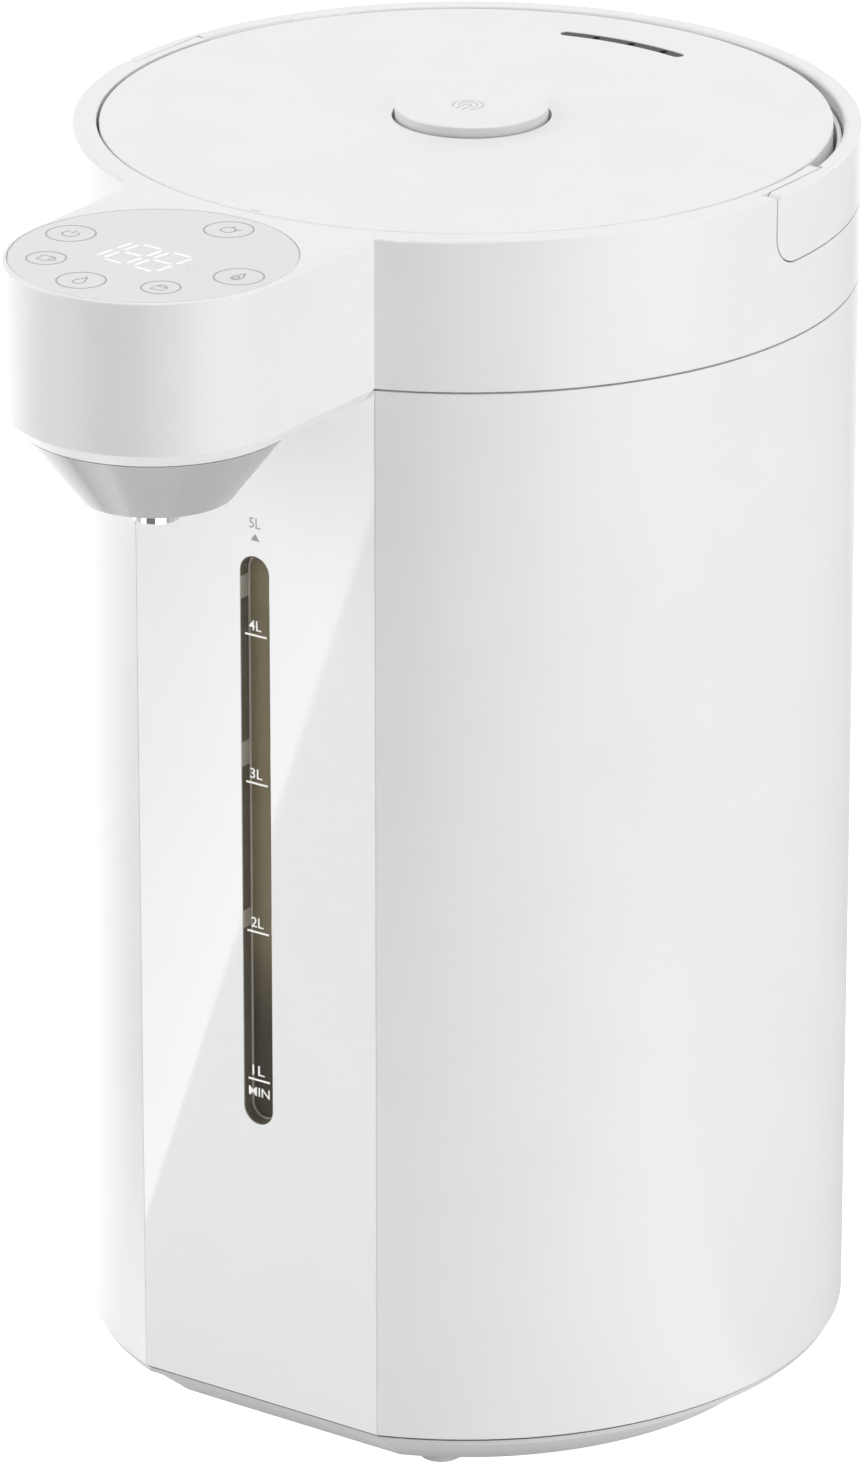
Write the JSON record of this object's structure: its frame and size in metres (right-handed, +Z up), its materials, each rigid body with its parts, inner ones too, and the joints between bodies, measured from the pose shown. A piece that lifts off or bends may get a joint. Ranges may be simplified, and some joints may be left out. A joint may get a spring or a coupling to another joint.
{
  "type": "electric thermo pot",
  "caption": "Electric thermo pot: heated inner pot with a pumped front spout, touch disc, level window, hinged push-button lid and folding carry handle.",
  "frame": {"origin": "on the vertical axis of the round body, in the plane of the four feet", "axes": "+Z up, -Y towards the spout and the level window, +X to the right seen from the front"},
  "size_m": [0.21, 0.284, 0.3576],
  "materials": {
    "body_white": "white moulded plastic, semi-gloss",
    "lid_white": "white moulded plastic, semi-gloss",
    "panel_gloss": "glossy back-printed front panel",
    "cone_grey": "satin grey plastic",
    "disc_gloss": "glossy light grey touch disc",
    "button_grey": "satin grey plastic",
    "base_grey": "blue-grey plastic with a fine grain",
    "chrome": "polished chrome",
    "window_clear": "clear window",
    "tube_clear": "clear tube",
    "pot_steel": "brushed stainless steel",
    "screw_steel": "zinc-plated steel",
    "spring_steel": "bright spring steel",
    "plate_aluminium": "cast aluminium",
    "contact_brass": "nickel-plated brass",
    "silicone": "translucent white silicone",
    "foot_rubber": "pale rubber",
    "inner_plastic": "natural plastic",
    "vent_grey": "dark grey plastic",
    "inlet_black": "black plastic",
    "board_green": "circuit board",
    "component_black": "electronic parts",
    "insulation": "felted insulation"
  },
  "bodies": {
    "pot": {"outer_shell": "body_white", "front_panel": "panel_gloss", "level_window": "window_clear", "sight_tube": "tube_clear", "tube_clips": "inner_plastic", "upper_housing": "body_white", "spout_cone": "cone_grey", "nozzle": "chrome", "spout_hose": "silicone", "control_disc": "disc_gloss", "display_carrier": "inner_plastic", "display_module": "component_black", "touch_pads": "silicone", "control_board": "board_green", "control_screws": "screw_steel", "inner_pot": "pot_steel", "pot_seal": "silicone", "clamp_ring": "inner_plastic", "clamp_screws": "screw_steel", "insulation_sleeve": "insulation", "heating_plate": "plate_aluminium", "heating_element": "pot_steel", "temperature_sensor": "contact_brass", "thermal_cutouts": "component_black", "pot_outlet": "pot_steel", "pump_head": "inner_plastic", "pump_motor": "screw_steel", "pump_cradle": "silicone", "suction_hose": "silicone", "delivery_hose": "silicone", "hose_clamps": "spring_steel", "base_cover": "base_grey", "base_screws": "screw_steel", "feet": "foot_rubber", "power_inlet": "inlet_black", "inlet_pins": "contact_brass", "power_board": "board_green", "board_standoffs": "inner_plastic", "board_screws": "screw_steel", "board_components": "component_black", "hinge_bracket": "pot_steel", "bracket_screws": "screw_steel", "handle_pins": "spring_steel"},
    "lid": {"lid_top": "lid_white", "lid_liner": "inner_plastic", "lid_gasket": "silicone", "lid_screws": "screw_steel", "steam_vent": "vent_grey", "steam_duct": "inner_plastic", "hinge_pin": "spring_steel", "button_springs": "spring_steel"},
    "button": {"lid_button": "button_grey"},
    "latch": {"lid_latch": "inner_plastic"},
    "handle": {"carry_handle": "body_white"},
    "impeller": {"pump_impeller": "inner_plastic", "pump_shaft": "spring_steel"}
  },
  "joints": [
    {"name": "lid_hinge", "type": "hinge", "parent": "pot", "child": "lid", "pos_m": [0, 0.089, 0.3518], "axis": [-1, 0, 0], "range_deg": [0, 65]},
    {"name": "button_press", "type": "slide", "parent": "lid", "child": "button", "axis": [0, 0, -1], "range_m": [0, 0.003], "stiffness_N_per_m": 400, "deforming": ["button_springs"]},
    {"name": "latch_slide", "type": "slide", "parent": "lid", "child": "latch", "axis": [0, 1, 0], "range_m": [0, 0.003]},
    {"name": "handle_swing", "type": "hinge", "parent": "pot", "child": "handle", "pos_m": [0, 0, 0.3501], "axis": [1, 0, 0], "range_deg": [0, 90]},
    {"name": "impeller_spin", "type": "hinge", "parent": "pot", "child": "impeller", "pos_m": [-0.04702, -0.04702, 0.037], "axis": [0, 0, 1], "continuous": true}
  ],
  "couplings": [
    {"joint": "latch_slide", "follows": "button_press", "ratio": 1}
  ]
}
